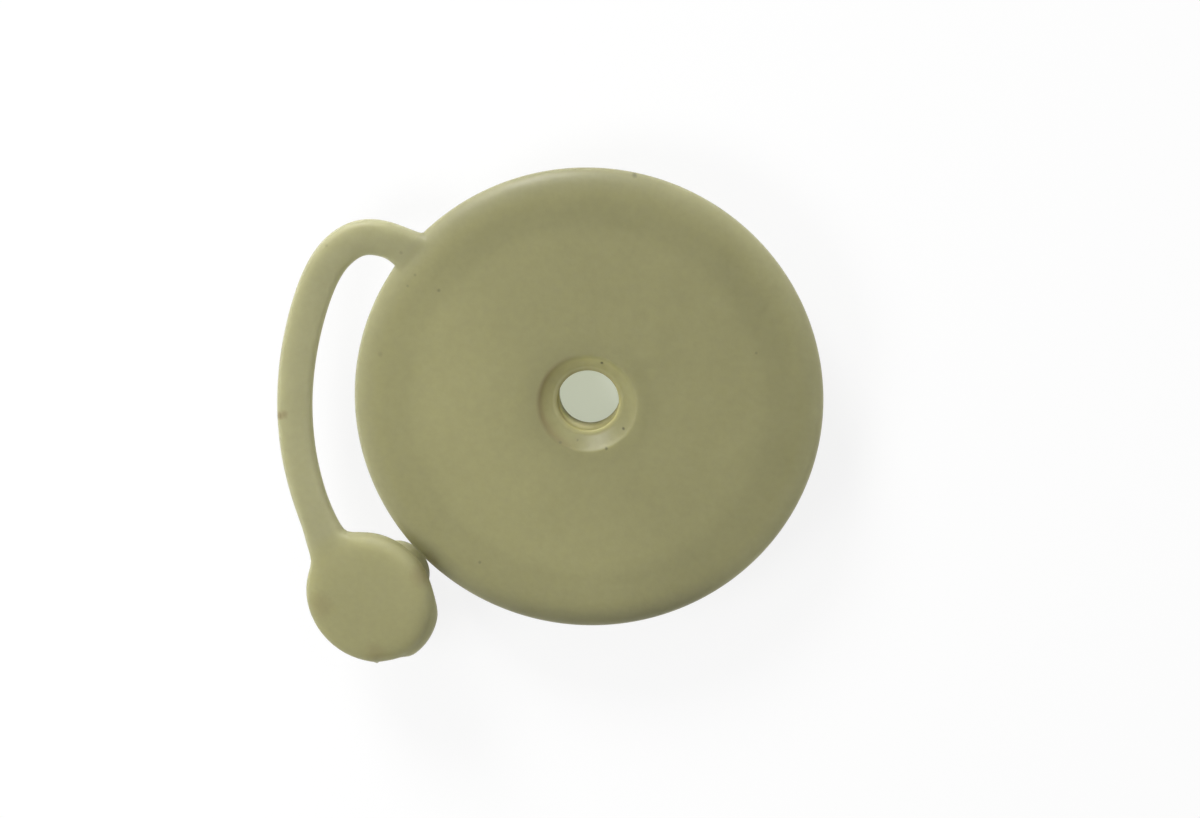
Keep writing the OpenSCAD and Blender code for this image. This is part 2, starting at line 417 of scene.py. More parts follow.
face_radii = [face_r * i / FACE_RINGS for i in range(1, FACE_RINGS)]
cap_section = plain([(r, face_z(r)) for r in face_radii]) + edge_arc([88, 68, 48])
cap_top_row = len(cap_section) - 1
cap_section += edge_arc([24])
cap_section += [(CAP_R + WALL_OUT, LIP_TOP_Z + 0.25, 0), (CAP_R + WALL_OUT, LIP_TOP_Z, 1)]
cap_section += [(CAP_R, foot_z - 0.35, 1)]
cap_foot_row = len(cap_section) - 1
cap_section += [(CAP_R - 0.35, foot_z - 0.8, 0.75), (inner_r, -CAP_T, 0.2)]
print("cap section corners:", len(cap_section), "strap rows:", cap_top_row, "to", cap_foot_row)

# %% [markdown]
# Below the cap come a fillet, the shank, the swelling to the bulb, and a rounded nose.

# %% Section of the pin
SWELL_ROWS = 4
fillet_centre = (PIN_R + PIN_FILLET, -CAP_T - PIN_FILLET)
cap_section += plain(along((inner_r, -CAP_T), (PIN_R + PIN_FILLET, -CAP_T), 2))
cap_section += plain(arc(fillet_centre, PIN_FILLET, PIN_FILLET, [90, 120, 150, 180]))
cap_section += plain(along((PIN_R, -CAP_T - PIN_FILLET), (PIN_R, shank_end), 5))
for i in range(SWELL_ROWS + 1):
    swell = (1 - math.cos(math.pi * i / SWELL_ROWS)) / 2
    z = shank_end + (bulb_z - shank_end) * i / SWELL_ROWS
    cap_section.append((PIN_R + (BULB_R - PIN_R) * swell, z, 0))
cap_section += plain(arc((0, bulb_z), BULB_R, NOSE_LEN, [-15, -26, -37, -48, -59, -70, -80]))
print("cap and pin section corners:", len(cap_section))

# %% [markdown]
# Directions round the cap are counted from the strap. Going round, the lip starts sharply at one
# end and dies away slowly at the other: each end has the turn from the lip's middle where it is
# gone and the turn where it is full. Nearly opposite the strap, a little nub stands where the
# mould's gate was.

# %% Lip and nub
LIP_SLOW_END = (38, 14)
LIP_SHARP_END = (34, 27)
lip_turn = LIP_ANGLE - CAP_ENTRY_ANGLE
nub_turn = NUB_ANGLE - CAP_ENTRY_ANGLE


def lip_share(turn):
    """How much of the lip stands at a direction round the cap."""
    away = (turn - lip_turn + 180) % 360 - 180
    gone, full = LIP_SLOW_END if away > 0 else LIP_SHARP_END
    return ease(abs(away), gone, full)


def stands_out(turn):
    """How far the lip and the nub stand out from the wall at a direction round the cap."""
    return LIP_OUT * lip_share(turn) + NUB_OUT * ease(abs(turn - nub_turn), NUB_FOOT, NUB_TOP)


print("lip at", lip_turn, "degrees from the strap, nub at", nub_turn)

# %% [markdown]
# The columns of the cap are evenly spaced too. More of them stand near the lip and at the nub,
# where the outline turns quickly.

# %% Columns of the cap
CAP_COLUMNS = 28
cap_step = 360 / CAP_COLUMNS
cap_turns = [cap_step * (j - ROOT_FACES / 2) for j in range(CAP_COLUMNS)]
between = [t + cap_step / 2 for t in cap_turns]
cap_turns += [t for t in between if abs(t - lip_turn) < 3 * cap_step]
cap_turns += [nub_turn + t for t in (-NUB_FOOT, -NUB_TOP, NUB_TOP, NUB_FOOT)]
cap_turns.sort()
columns = len(cap_turns)
print("cap columns:", columns)

# %% [markdown]
# The cap's faces are left open where the strap runs in, as on the rim. Its grid ends in a ring at
# the middle of the face and another at the nose, and each is closed by faces that span two
# columns and meet in one corner.

# %% Cage of the cap
cap_gain = ring_gain(CAP_COLUMNS)
cap_rows = []
for r, z, share in cap_section:
    ring = []
    for turn in cap_turns:
        t = math.radians(turn)
        reach = r * cap_gain + share * stands_out(turn)
        ring.append(in_cap(reach * math.cos(t), reach * math.sin(t), z))
    cap_rows.append(cage.add(ring))

for i in range(len(cap_rows) - 1):
    for j in range(columns):
        behind_strap = cap_top_row <= i < cap_foot_row and j < ROOT_FACES
        if not behind_strap:
            k = (j + 1) % columns
            row, below = cap_rows[i], cap_rows[i + 1]
            cage.faces.append((row[j], row[k], below[k], below[j]))
for row, height in ((cap_rows[0], 0), (cap_rows[-1], bulb_z - NOSE_LEN)):
    pole = cage.add([in_cap(0, 0, height)])[0]
    for j in range(0, columns, 2):
        cage.faces.append((row[j], row[j + 1], row[(j + 2) % columns], pole))

cap_window = window(cap_rows, cap_top_row, cap_foot_row, list(range(ROOT_FACES, -1, -1)))
print("cap window:", len(cap_window), "corners, cage faces:", len(cage.faces))


# %% [markdown]
# ## The strap
#
# The strap's line leaves the rim, turns over the shoulder, follows the flange at a steady gap
# and climbs to the cap. It passes smoothly through given stations, each of which says how
# far round it is and how far out. Loops of the strap's section are set along that line at even
# distances, and each is bridged to the next.

# %% Line of the strap
stations = [
    (-0.017, -0.67), (-0.006, -0.34), (0, -0.05), (0.016, 0.37), (0.053, 0.74), (0.112, 0.94),
    (0.184, 1), (0.282, 0.99), (0.391, 0.99), (0.5, 1.01), (0.609, 1.04), (0.706, 1.07),
    (0.791, 1.11),
]
CLIMB_END = 0.85
CLIMB_POWER = 1.2
ENTRY_DEPTH = 0.4
ROUTE_END_DEPTH = 3
cap_entry = in_cap(CAP_R - ENTRY_DEPTH, CAP_ASIDE, -CAP_T / 2)


def station_point(share, way_out):
    """A point of the line: how far round towards the cap, and how far out to the free line."""
    turn = math.radians(STRAP_ANGLE + share * (CAP_ANGLE - STRAP_ANGLE))
    r = FLANGE_R + way_out * (STRAP_GAP + STRAP_W / 2)
    climb = (max(share, 0) / CLIMB_END) ** CLIMB_POWER
    z = EDGE_Z + (cap_entry.z - EDGE_Z) * climb
    return Vector((r * math.cos(turn), r * math.sin(turn), z))


def spline(p, i, t):
    """A smooth curve through the points p, between p[i] and p[i + 1]."""
    a, b, c, d = p[max(i - 1, 0)], p[i], p[i + 1], p[min(i + 2, len(p) - 1)]
    bend = (2 * a - 5 * b + 4 * c - d) * t * t + (3 * b - a - 3 * c + d) * t ** 3
    return (2 * b + (c - a) * t + bend) / 2


route = [station_point(*s) for s in stations]
route += [cap_entry, in_cap(CAP_R - ROUTE_END_DEPTH, CAP_ASIDE, -CAP_T / 2)]
FINE = 40
line = [spline(route, i, k / FINE) for i in range(len(route) - 1) for k in range(FINE)]
print("points on the line:", len(line))

# %% [markdown]
# Only the free stretch of the line carries loops. It starts just outside the rim and ends just
# short of the wall of the cap.

# %% Free stretch of the line
OFF_RIM = 0.3
OFF_CAP = 0.6
cap_body = in_cap(0, 0, -CAP_T / 2)
start = next(i for i, p in enumerate(line) if p.xy.length > FLANGE_R + OFF_RIM)
end = next(i for i, p in enumerate(line) if (p - cap_body).length < CAP_R + OFF_CAP)
line = line[start:end]
lengths = [0.0]
for p, q in zip(line, line[1:]):
    lengths.append(lengths[-1] + (q - p).length)
print("free strap:", round(lengths[-1], 1), "mm")

# %% [markdown]
# A loop is a rounded rectangle with four faces across and four up, the same as the openings it
# joins. It flares where the strap leaves the flange and again where it runs into the cap, and
# there it flares most on the side of the flange.

# %% Loops of the strap
ROUNDNESS = 0.3
LOOP_GAIN = 1.03
FLARE_REACH = 1.2
LEAST_REACH = 0.1
across = [2 * i / ROOT_FACES - 1 for i in range(ROOT_FACES + 1)]
upright = [0.5, 0, -0.5]
loop_shape = [(u, 1) for u in across] + [(1, v) for v in upright]
loop_shape += [(u, -1) for u in reversed(across)] + [(-1, v) for v in reversed(upright)]


def flare(size, distance):
    """How much wider a side is, at a distance from where it flares."""
    return size * math.exp(-max(distance, 0) / (FLARE_REACH * size + LEAST_REACH))


def strap_loop(i, share):
    """The corners of the loop at a point of the line, turned over by its share of the tilt."""
    p = line[i]
    forward = (line[min(i + 1, len(line) - 1)] - line[max(i - 1, 0)]).normalized()
    up = Vector((0, 0, 1)).lerp(cap_up, share)
    side = up.cross(forward).normalized()
    up = forward.cross(side)
    to_cap = (p - cap_body).length - CAP_R
    half_w = STRAP_W / 2 + flare(ROOT_FLARE, p.xy.length - FLANGE_R)
    inner = half_w + flare(CAP_FLARE_INNER, to_cap)
    outer = half_w + flare(CAP_FLARE_OUTER, to_cap)
    corners = []
    for u, v in loop_shape:
        reach = (inner if u > 0 else outer) * u * math.sqrt(1 - ROUNDNESS * v * v)
        rise = STRAP_T / 2 * v * math.sqrt(1 - ROUNDNESS * u * u)
        corners.append(p + LOOP_GAIN * (reach * side + rise * up))
    return corners


print("corners in a loop:", len(loop_shape))

# %% [markdown]
# The loops stand about a millimetre apart. The first is bridged to the opening in the rim and the
# last to the opening in the cap, which closes the skin.

# %% Strap
LOOP_SPACING = 1.0
count = round(lengths[-1] / LOOP_SPACING)
last_loop = flange_window
for n in range(count + 1):
    target = lengths[-1] * n / count
    i = next(k for k, length in enumerate(lengths) if length >= target - 1e-9)
    loop = cage.add(strap_loop(i, n / count))
    cage.bridge(last_loop, loop)
    last_loop = loop
cage.bridge(last_loop, cap_window)
print("strap loops:", count + 1, "cage faces:", len(cage.faces))


# %% [markdown]
# ## From cage to skin
#
# The cage becomes a mesh, and its faces are turned so that all of them look outwards.

# %% Build the mesh
mesh = bpy.data.meshes.new("bung_moulding")
mesh.from_pydata([p * MM for p in cage.points], [], cage.faces)
mesh.update()
bung = bpy.data.objects.new("bung_moulding", mesh)
bpy.context.scene.collection.objects.link(bung)

bpy.context.view_layer.objects.active = bung
bung.select_set(True)
bpy.ops.object.mode_set(mode="EDIT")
bpy.ops.mesh.select_all(action="SELECT")
bpy.ops.mesh.normals_make_consistent(inside=False)
bpy.ops.object.mode_set(mode="OBJECT")
print("cage mesh:", len(mesh.vertices), "points,", len(mesh.polygons), "faces")

# %% [markdown]
# One round of Catmull-Clark subdivision turns the cage into the finished surface. The result is
# applied, so that the mesh holds its own shape, and shaded smooth. The piece then takes the
# construction model's place on the root body.

# %% Round the skin
rounding = bung.modifiers.new("rounding", "SUBSURF")
rounding.levels = 1
rounding.render_levels = 1
bpy.ops.object.modifier_apply(modifier="rounding")
for polygon in bung.data.polygons:
    polygon.use_smooth = True

triangles = sum(len(p.vertices) - 2 for p in bung.data.polygons)
print("skin:", len(bung.data.vertices), "points,", triangles, "triangles")

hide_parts("bung")
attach(bung, "root")


# %% [markdown]
# ## Node helpers
#
# A material is a tree of small nodes. One helper adds a node, sets it up and plugs in its
# inputs. Four shorter ones cover the steps that come up again and again, and each of them gives
# back the socket that holds its result, so that a step of a finish reads as one line.

# %% Helper for one node
def add_node(tree, kind, inputs=None, **settings):
    """A new node. Each input is a number, a colour or a socket that feeds it."""
    made = tree.nodes.new(kind)
    for name, value in settings.items():
        setattr(made, name, value)
    for key, value in (inputs or {}).items():
        if isinstance(value, bpy.types.NodeSocket):
            tree.links.new(value, made.inputs[key])
        else:
            made.inputs[key].default_value = value
    return made


print("helper for nodes:", add_node.__name__)

# %% Helpers for numbers, vectors, fades and blends
def calc(tree, operation, *terms, clamp=False):
    """One step of arithmetic with numbers."""
    inputs = dict(enumerate(terms))
    return add_node(tree, "ShaderNodeMath", inputs, operation=operation, use_clamp=clamp).outputs[0]


def vector_calc(tree, operation, *terms):
    """One step of arithmetic with vectors. A length, a distance or a dot product is a number."""
    made = add_node(tree, "ShaderNodeVectorMath", dict(enumerate(terms)), operation=operation)
    is_number = operation in ("LENGTH", "DISTANCE", "DOT_PRODUCT")
    return made.outputs["Value" if is_number else "Vector"]


def fade(tree, value, start, end, low=0.0, high=1.0, smooth=False):
    """A number that goes from low to high while the value goes from start to end."""
    inputs = {"Value": value, "From Min": start, "From Max": end, "To Min": low, "To Max": high}
    kind = "SMOOTHSTEP" if smooth else "LINEAR"
    return add_node(tree, "ShaderNodeMapRange", inputs, interpolation_type=kind).outputs["Result"]


def blend(tree, mask, colour, tint):
    """The colour, turned towards the tint as far as the mask says."""
    return add_node(tree, "ShaderNodeMix", {0: mask, 6: colour, 7: tint}, data_type="RGBA").outputs[2]


def direction(azimuth):
    """A level direction of length one, counted in degrees from +X."""
    return (math.cos(math.radians(azimuth)), math.sin(math.radians(azimuth)), 0)


print("a level direction:", [round(v, 2) for v in direction(135)])

# %% [markdown]
# ## Where a mark sits
#
# Old rubber holds small marks: dark specks moulded in, and brown stains. Each is a soft spot of
# colour at its own place, seen from above. One node group makes the mask of such a spot from
# the distance to its middle, and noise frays its edge. It is placed once for each mark.

# %% Mask of one mark
mark_tree = bpy.data.node_groups.new("mark_on_rubber", "ShaderNodeTree")
for name, kind in (("Place", "NodeSocketVector"), ("Middle", "NodeSocketVector"),
                   ("Radius", "NodeSocketFloat"), ("Strength", "NodeSocketFloat")):
    mark_tree.interface.new_socket(name=name, in_out="INPUT", socket_type=kind)
mark_tree.interface.new_socket(name="Mask", in_out="OUTPUT", socket_type="NodeSocketFloat")
spot = mark_tree.nodes.new("NodeGroupInput").outputs
mark_out = mark_tree.nodes.new("NodeGroupOutput")

fray = add_node(mark_tree, "ShaderNodeTexNoise", {"Vector": spot["Place"], "Scale": 2600.0})
frayed = calc(mark_tree, "ADD", fray.outputs["Fac"], 0.9)
outer = calc(mark_tree, "MULTIPLY", frayed, spot["Radius"])
inner = calc(mark_tree, "MULTIPLY", outer, 0.3)
away = vector_calc(mark_tree, "DISTANCE", spot["Place"], spot["Middle"])
blot = fade(mark_tree, away, outer, inner)
strong = calc(mark_tree, "MULTIPLY", blot, spot["Strength"])
mark_tree.links.new(strong, mark_out.inputs["Mask"])
print("mark group:", len(mark_tree.nodes), "nodes")

# %% [markdown]
# The marks are listed: the middle of each, seen from above, its radius in millimetres
# and its strength. The dark specks come first, and the brown stains after them.

# %% Specks and stains
specks = [
    ((-15.7, 12.0), 0.18, 0.35), ((-19.0, 12.4), 0.14, 0.25), ((-18.2, 13.6), 0.14, 0.25),
    ((-19.7, 15.9), 0.18, 0.25), ((-27.6, 16.6), 0.18, 0.2), ((-22.0, 5.0), 0.26, 0.2),
    ((-11.6, -17.7), 0.16, 0.35), ((1.5, 4.3), 0.15, 0.8), ((-2.9, -4.3), 0.15, 0.35),
    ((-1.1, -4.2), 0.12, 0.3), ((3.8, -2.8), 0.15, 0.7), ((2.0, -4.9), 0.16, 0.6),
    ((17.8, 5.6), 0.14, 0.3), ((4.9, 24.3), 0.25, 0.4),
]
stains = [
    ((-32.9, -1.8), 0.4, 0.6), ((-32.4, -1.6), 0.4, 0.4), ((-28.8, -22.6), 1.4, 0.2),
    ((-17.4, -18.2), 1.2, 0.3), ((-22.8, -27.4), 1.1, 0.2),
]
print("specks:", len(specks), "stains:", len(stains))


# %% [markdown]
# ## Milky rubber
# Milky rubber takes light in and lets it out again a millimetre away, so the shader has
# subsurface scattering. Its colour is worked out in steps, from the broad to the fine. First
# come painted shade and painted light that follow how deep the rubber is: painted shade over
# the plug's wall and round the vent's boss, and painted light at the thin edge and along the
# strap, where light comes through. A ramp over the distance from the axis holds those values,
# in millimetres and shares of the plain tone.

# %% Painted shade and light by the depth of the rubber
rubber = bpy.data.materials.new("milky_rubber")
rubber.use_nodes = True
tree = rubber.node_tree
shader = tree.nodes["Principled BSDF"]
place = add_node(tree, "ShaderNodeTexCoord").outputs["Object"]
flat = vector_calc(tree, "MULTIPLY", place, (1, 1, 0))
radius = vector_calc(tree, "LENGTH", flat)

RAMP_R = 1.25 * FLANGE_R
FULL_TONE = 1.2
depth_shade_stops = [
    (4.0, 0.90), (5.6, 0.92), (6.4, 0.94), (8.0, 0.99), (13.0, 1.0), (17.5, 1.0), (18.6, 0.97),
    (19.4, 0.92), (21.4, 0.91), (22.5, 0.94), (23.8, 0.97), (24.6, 0.98), (25.4, 1.02), (28.0, 1.04),
]
share = calc(tree, "MULTIPLY", radius, 1 / (RAMP_R * MM))
depth_shade = add_node(tree, "ShaderNodeValToRGB", {"Fac": share})
ramp = depth_shade.color_ramp
ramp.elements.remove(ramp.elements[1])
for n, (r, value) in enumerate(depth_shade_stops):
    element = ramp.elements[0] if n == 0 else ramp.elements.new(r / RAMP_R)
    element.position = r / RAMP_R
    element.color = (value / FULL_TONE, value / FULL_TONE, value / FULL_TONE, 1)
print("depth stops:", len(depth_shade_stops))

# %% [markdown]
# The cap is as deep as the flange, so it takes the flange's plain tone and not the strap's. Its
# mask is the distance from the middle of the cap.

# %% Tone of the cap
CAP_TONE = 0.98
cap_middle = cap_body * MM
from_cap = vector_calc(tree, "DISTANCE", place, cap_middle)
on_cap = fade(tree, from_cap, 8.6 * MM, 6.4 * MM)
tone = add_node(tree, "ShaderNodeMix", {"Factor": on_cap, "A": depth_shade.outputs["Color"],
                                        "B": CAP_TONE / FULL_TONE}).outputs[0]
print("cap middle in mm:", [round(v / MM, 2) for v in cap_middle])

# %% [markdown]
# Light reaches the countersink through the rubber round it, so the walls that face away from
# the window are paler than a solid skin would be. That is a tone too: it grows from one side
# of the countersink to the other and is shown only between the vent hole and the edge.

# %% Glow in the countersink
GLOW_AZIMUTH = 127
past_edge = fade(tree, radius, (SINK_R + 0.1) * MM, (SINK_R - 0.5) * MM)
towards_window = vector_calc(tree, "DOT_PRODUCT", place, direction(GLOW_AZIMUTH))
glow = fade(tree, towards_window, -4.2 * MM, 3.2 * MM, -0.04, 0.78)
glowing = calc(tree, "MULTIPLY_ADD", past_edge, glow, 1.0)
tone = calc(tree, "MULTIPLY", tone, glowing)
print("glow towards", GLOW_AZIMUTH, "degrees")

# %% [markdown]
# The pin lies in the shade under the cap, and painted light makes its rubber paler there.
# Three masks find it: below the cap, beside the flange, and near the middle of the pin.

# %% Painted light on the pin
PIN_PAINTED_LIGHT = 0.7
pin_middle = in_cap(0, 0, -8.0) * MM
from_pin = vector_calc(tree, "SUBTRACT", place, pin_middle)
above_pin = vector_calc(tree, "DOT_PRODUCT", from_pin, cap_up)
below_cap = fade(tree, above_pin, 4.8 * MM, 4.0 * MM)
beside_flange = calc(tree, "GREATER_THAN", radius, (FLANGE_R + 0.1) * MM)
by_pin = calc(tree, "LESS_THAN", vector_calc(tree, "DISTANCE", place, pin_middle), 7.5 * MM)
on_pin = calc(tree, "MULTIPLY", calc(tree, "MULTIPLY", below_cap, beside_flange), by_pin)
tone = calc(tree, "MULTIPLY", tone, calc(tree, "MULTIPLY_ADD", on_pin, PIN_PAINTED_LIGHT, 1.0))
print("pin middle in mm:", [round(v / MM, 2) for v in pin_middle])

# %% [markdown]
# Painted light makes one half of the flange, the one nearer the strap and the cap, faintly
# paler, standing in for more light falling on that side. The edge and the countersink don't take
# part.

# %% Painted light on one half
STRAP_SIDE = 210
HALF_PAINTED_LIGHT = 0.1
strapwards = vector_calc(tree, "DOT_PRODUCT", place, direction(STRAP_SIDE))
half = fade(tree, strapwards, -2.0 * MM, 12.0 * MM, high=HALF_PAINTED_LIGHT, smooth=True)
inside_edge = fade(tree, radius, 23.5 * MM, 20.5 * MM)
outside_sink = fade(tree, radius, SINK_R * MM, (SINK_R + 1.5) * MM)
on_face = calc(tree, "MULTIPLY", inside_edge, outside_sink)
tone = calc(tree, "MULTIPLY", tone, calc(tree, "MULTIPLY_ADD", half, on_face, 1.0))
print("paler by", HALF_PAINTED_LIGHT, "towards", STRAP_SIDE, "degrees")

# %% [markdown]
# Painted shade and painted light change the rim's tone round its edge, darker or paler by how
# the light falls there. Each row gives a direction, in degrees, and how much darker or paler the rim
# is there.

# %% Painted shade and light on the rim
RIM_SHADE_AND_LIGHT = [(272, -0.2), (335, 0.18), (32, 0.12), (103, -0.13)]
near_rim = fade(tree, radius, 22.0 * MM, 24.3 * MM)
on_rim = calc(tree, "SUBTRACT", near_rim, beside_flange, clamp=True)
for azimuth, change in RIM_SHADE_AND_LIGHT:
    that_way = vector_calc(tree, "DOT_PRODUCT", place, direction(azimuth))
    part_way = fade(tree, that_way, 19.0 * MM, 24.0 * MM, high=change, smooth=True)
    changed = calc(tree, "MULTIPLY_ADD", part_way, on_rim, 1.0)
    tone = calc(tree, "MULTIPLY", tone, changed)
print("rim tones:", len(RIM_SHADE_AND_LIGHT))

# %% [markdown]
# Batches of rubber are never quite even. A broad noise and a fine one make the tone drift by a
# few parts in a hundred. The drift also brings the tone back to a middle value of one.

# %% Mottling
RUBBER_COLOUR = (0.297, 0.284, 0.141)
broad = add_node(tree, "ShaderNodeTexNoise", {"Vector": place, "Scale": 170.0, "Detail": 3.0})
fine = add_node(tree, "ShaderNodeTexNoise", {"Vector": place, "Scale": 1400.0, "Detail": 4.0})
drift = fade(tree, broad.outputs["Fac"], 0.3, 0.7, FULL_TONE - 0.03, FULL_TONE + 0.03)
grain = fade(tree, fine.outputs["Fac"], 0.3, 0.7, 0.97, 1.03)
grained = calc(tree, "MULTIPLY", calc(tree, "MULTIPLY", tone, drift), grain)
colour = add_node(tree, "ShaderNodeVectorMath", {0: RUBBER_COLOUR, "Scale": grained},
                  operation="SCALE").outputs[0]
print("nodes for the tone:", len(tree.nodes))

# %% [markdown]
# Thin rubber looks milkier, that is less yellow, at the edge of the flange and along the strap.

# %% Milky edge and strap
MILKY = (0.965, 0.975, 1.14, 1)
WHITE = (1, 1, 1, 1)
at_edge = fade(tree, radius, 22.5 * MM, 24.8 * MM)
off_cap = calc(tree, "SUBTRACT", at_edge, on_cap, clamp=True)
colour = vector_calc(tree, "MULTIPLY", colour, blend(tree, off_cap, WHITE, MILKY))
print("milky tint:", MILKY[:3])

# %% [markdown]
# On the strap, light also passes through from the window, so the steep sides that face away from
# the window are a little paler than its top. The direction of the skin gives the masks: how
# steep it is, and how far it is turned away from the window.

# %% Sides of the strap
WINDOW_AZIMUTH = 113
PALE_SIDE = (0.50, 0.49, 0.34, 1)
on_strap = fade(tree, radius, 25.2 * MM, 26.2 * MM)
skin = add_node(tree, "ShaderNodeNewGeometry").outputs["Normal"]
level = calc(tree, "ABSOLUTE", vector_calc(tree, "DOT_PRODUCT", skin, (0, 0, 1)))
steep = fade(tree, level, 1.0, 0.0, high=0.9)
turned_away = vector_calc(tree, "DOT_PRODUCT", skin, direction(WINDOW_AZIMUTH + 180))
lit_through = fade(tree, turned_away, -0.35, 0.4, low=0.25)
side_on = calc(tree, "MULTIPLY", calc(tree, "MULTIPLY", steep, on_strap), lit_through)
colour = blend(tree, calc(tree, "MULTIPLY", side_on, off_cap), colour, PALE_SIDE)
print("pale sides:", PALE_SIDE[:3])

# %% [markdown]
# Painted shade lays a thin dark brown line along the upper edge of the countersink, on the side
# nearer the strap. It is a narrow ring, shown only on that side.

# %% Painted shade at the countersink
axes = add_node(tree, "ShaderNodeSeparateXYZ", {0: place}).outputs
ring_end = fade(tree, radius, (SINK_R + 0.35) * MM, SINK_R * MM)
ring_start = fade(tree, radius, (SINK_R - 1.1) * MM, (SINK_R - 0.1) * MM)
strap_side = fade(tree, axes["X"], -0.5 * MM, -4.5 * MM, high=0.42)
sink_shade = calc(tree, "MULTIPLY", calc(tree, "MULTIPLY", ring_end, ring_start), strap_side)
colour = blend(tree, sink_shade, colour, (0.14, 0.085, 0.03, 1))
print("tinge round a radius of", SINK_R, "mm")

# %% [markdown]
# Deeper down, the rubber of the vent hole looks yellower, because light reaches it through the
# rubber, most of all on the side nearer the cap.

# %% Colour of the vent hole
CAP_SIDE_AZIMUTH = 212
in_hole = fade(tree, radius, (VENT_R + 0.4) * MM, (VENT_R + 0.1) * MM)
low_down = fade(tree, axes["Z"], 1.0 * MM, -0.4 * MM)
deep = calc(tree, "MULTIPLY", in_hole, low_down)
capwards = vector_calc(tree, "DOT_PRODUCT", place, direction(CAP_SIDE_AZIMUTH))
shone_through = calc(tree, "MULTIPLY", deep, fade(tree, capwards, 1.2 * MM, 3.2 * MM))
colour = blend(tree, in_hole, colour, (0.33, 0.305, 0.13, 1))
colour = blend(tree, deep, colour, (0.46, 0.43, 0.20, 1))
colour = blend(tree, shone_through, colour, (0.97, 0.92, 0.52, 1))
print("nodes so far:", len(tree.nodes))

# %% [markdown]
# The marks are only on the upper side. All specks share one dark colour and all stains one
# brown, so the masks of each kind are joined before they tint the rubber.

# %% Specks and stains on the rubber
STAIN_BROWN = (0.13, 0.085, 0.03, 1)
SPECK_DARK = (0.035, 0.03, 0.02, 1)
upper = calc(tree, "GREATER_THAN", axes["Z"], 1.0 * MM)
for marks, tint in ((stains, STAIN_BROWN), (specks, SPECK_DARK)):
    joined = 0.0
    for (x, y), size, strength in marks:
        inputs = {"Place": flat, "Middle": (x * MM, y * MM, 0), "Radius": size * MM,
                  "Strength": strength}
        mark = add_node(tree, "ShaderNodeGroup", inputs, node_tree=mark_tree)
        joined = calc(tree, "MAXIMUM", joined, mark.outputs["Mask"])
    colour = blend(tree, calc(tree, "MULTIPLY", joined, upper), colour, tint)
tree.links.new(colour, shader.inputs["Base Color"])
print("material nodes:", len(tree.nodes))

# %% [markdown]
# The skin is satin, a little uneven in its shine and duller on the cap, with the faint
# orange-peel of a moulded face. The scattering reaches almost as far for blue light as for red,
# so thin edges stay milky.

# %% Shine and skin
CAP_DULLER = 0.2
shine = fade(tree, broad.outputs["Fac"], 0.3, 0.7, 0.40, 0.50)
duller = calc(tree, "MULTIPLY_ADD", on_cap, CAP_DULLER, shine)
tree.links.new(duller, shader.inputs["Roughness"])
peel = add_node(tree, "ShaderNodeBump", {"Height": fine.outputs["Fac"], "Strength": 0.35,
                                         "Distance": 0.05 * MM})
tree.links.new(peel.outputs["Normal"], shader.inputs["Normal"])
shader.inputs["Subsurface Weight"].default_value = 1.0
shader.inputs["Subsurface Radius"].default_value = (1.0, 1.0, 0.85)
shader.inputs["Subsurface Scale"].default_value = 4.5 * MM
bung.data.materials.append(rubber)
print("material:", rubber.name)


# %% [markdown]
# ## Floor
#
# The bung stands on the tip of its plug, on white paper. Its light is that of real paper, and
# where the camera sees it directly, a share of plain white is mixed in.

# %% Floor
bpy.ops.mesh.primitive_plane_add(size=4, location=(0, 0, -PLUG_DEPTH * MM))
floor = bpy.context.object
floor.name = "floor"
paper = bpy.data.materials.new("white_paper")
paper.use_nodes = True
floor.data.materials.append(paper)
paper_tree = paper.node_tree
matt = paper_tree.nodes["Principled BSDF"]
matt.inputs["Base Color"].default_value = (0.9, 0.9, 0.9, 1)
matt.inputs["Roughness"].default_value = 0.9
print("floor at", -PLUG_DEPTH, "mm")

# %% [markdown]
# The share lifts the paper to white and still keeps the soft shadow. Under the plug, where the
# vent hole shows the paper, the share is smaller, and a little green and yellow, because the
# light there has come through the rubber.

# %% White of the paper
THROUGH_RUBBER = (0.93, 0.99, 0.76, 1)
paper_place = add_node(paper_tree, "ShaderNodeTexCoord").outputs["Object"]
from_axis = vector_calc(paper_tree, "LENGTH", paper_place)
share = fade(paper_tree, from_axis, 15 * MM, 20 * MM, 0.5, 0.85)
in_the_open = fade(paper_tree, from_axis, 15 * MM, 20 * MM)
white = add_node(paper_tree, "ShaderNodeEmission",
                 {"Color": blend(paper_tree, in_the_open, THROUGH_RUBBER, WHITE), "Strength": 1.0})
ray = add_node(paper_tree, "ShaderNodeLightPath")
lifted = calc(paper_tree, "MULTIPLY", ray.outputs["Is Camera Ray"], share)
mixed = add_node(paper_tree, "ShaderNodeMixShader", {0: lifted, 1: matt.outputs[0],
                                                     2: white.outputs[0]})
paper_tree.links.new(mixed.outputs[0], paper_tree.nodes["Material Output"].inputs["Surface"])
print("paper nodes:", len(paper_tree.nodes))

# %% [markdown]
# ## Light
#
# A white room gives most of the light, less of it from the side away from the window.

# %% Room
DIM_SIDE = 0.2
BRIGHT_SIDE = 0.62
world = bpy.data.worlds.new("white_room")
world.use_nodes = True
room = world.node_tree
looking = add_node(room, "ShaderNodeTexCoord").outputs["Generated"]
side = add_node(room, "ShaderNodeSeparateXYZ", {0: looking}).outputs["Y"]
strength = fade(room, side, -0.9, 0.9, DIM_SIDE, BRIGHT_SIDE)
room.nodes["Background"].inputs["Color"].default_value = WHITE
room.links.new(strength, room.nodes["Background"].inputs["Strength"])
bpy.context.scene.world = world
print("room light from", DIM_SIDE, "to", BRIGHT_SIDE)

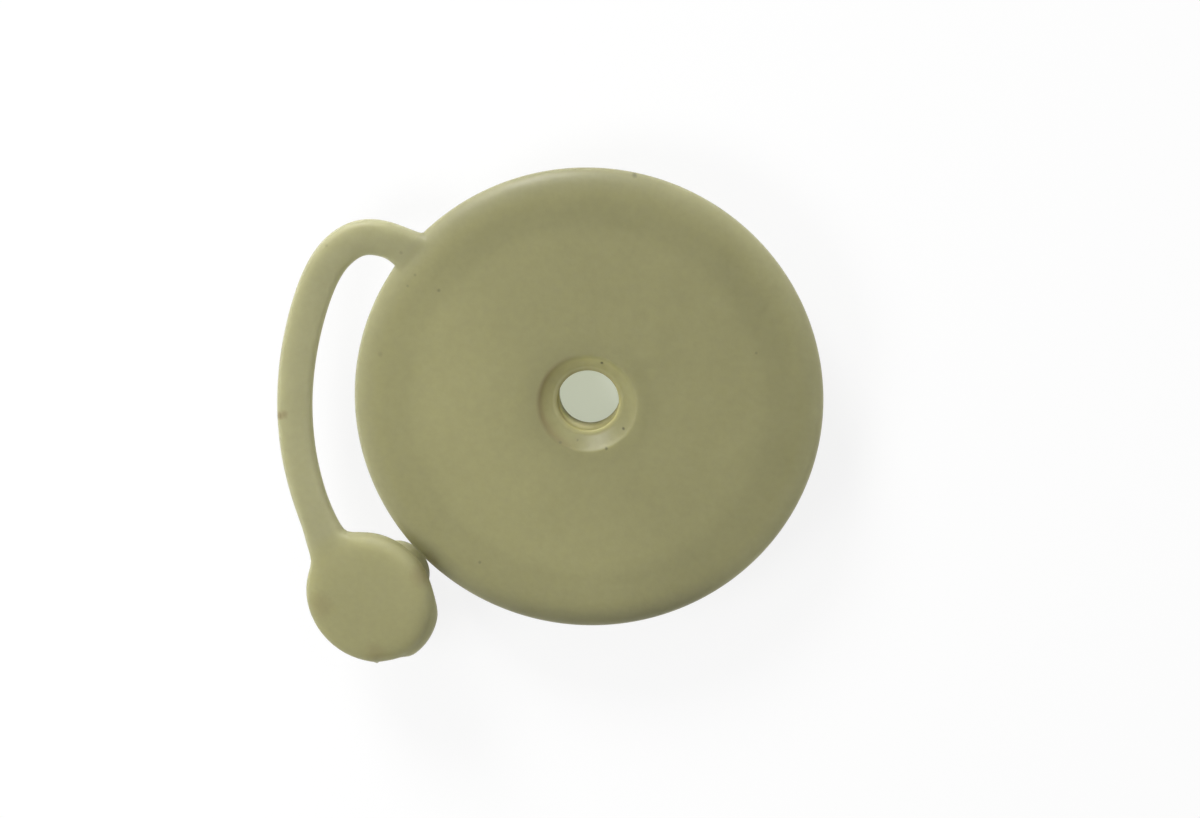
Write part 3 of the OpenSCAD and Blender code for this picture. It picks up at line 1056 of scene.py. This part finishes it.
# %% [markdown]
# A low, broad window behind the bung models its rim, and a nearer, weaker panel brightens the
# side of the cap a little. The panel isn't mirrored in the satin skin, as the window is.
# Together with the room they light a face that looks up at a level of about one, so that a
# colour renders as it is written.

# %% Window and side panel
def panel(name, azimuth, from_zenith, distance, size, level):
    """A round soft light. Its level is what it gives to a surface that faces it."""
    z = math.radians(from_zenith)
    lamp = bpy.data.lights.new(name, "AREA")
    lamp.shape = "DISK"
    lamp.size = size
    lamp.energy = level * (math.pi * distance) ** 2
    obj = bpy.data.objects.new(name, lamp)
    bpy.context.scene.collection.objects.link(obj)
    outwards = math.sin(z) * Vector(direction(azimuth)) + Vector((0, 0, math.cos(z)))
    obj.location = outwards * distance
    obj.rotation_euler = (-outwards).to_track_quat("-Z", "Y").to_euler()
    return obj


panel("window", WINDOW_AZIMUTH, from_zenith=60, distance=0.9, size=0.35, level=0.82)
side_panel = panel("side_panel", 192, from_zenith=35, distance=0.2, size=0.1, level=0.42)
side_panel.visible_glossy = False
print("window at", WINDOW_AZIMUTH, "degrees")

# %% [markdown]
# ## Camera
#
# The bung is seen nearly from above, through a long lens. The view leans towards +Y, and a
# little towards +X.

# %% Camera
VIEW_DISTANCE = 360
SENSOR_WIDTH = 36
LENS = 101.19
VIEW_TILT = math.radians(13.4)
VIEW_TURN = math.radians(12.1)
target = Vector((1.2, -1.19, 0)) * MM
towards = Vector((
    math.sin(VIEW_TILT) * math.sin(VIEW_TURN),
    math.sin(VIEW_TILT) * math.cos(VIEW_TURN),
    math.cos(VIEW_TILT),
))
right = Vector((0, 1, 0)).cross(towards).normalized()
upward = towards.cross(right)
camera = bpy.data.cameras.new("camera")
camera.sensor_width = SENSOR_WIDTH
camera.lens = LENS
camera.clip_start = 0.01
view = bpy.data.objects.new("camera", camera)
bpy.context.scene.collection.objects.link(view)
turned = Matrix((right, upward, towards)).transposed().to_4x4()
view.matrix_world = Matrix.Translation(target + towards * VIEW_DISTANCE * MM) @ turned
bpy.context.scene.camera = view
bpy.context.scene.view_settings.view_transform = "Standard"
print("camera", VIEW_DISTANCE, "mm away, lens", LENS, "mm")
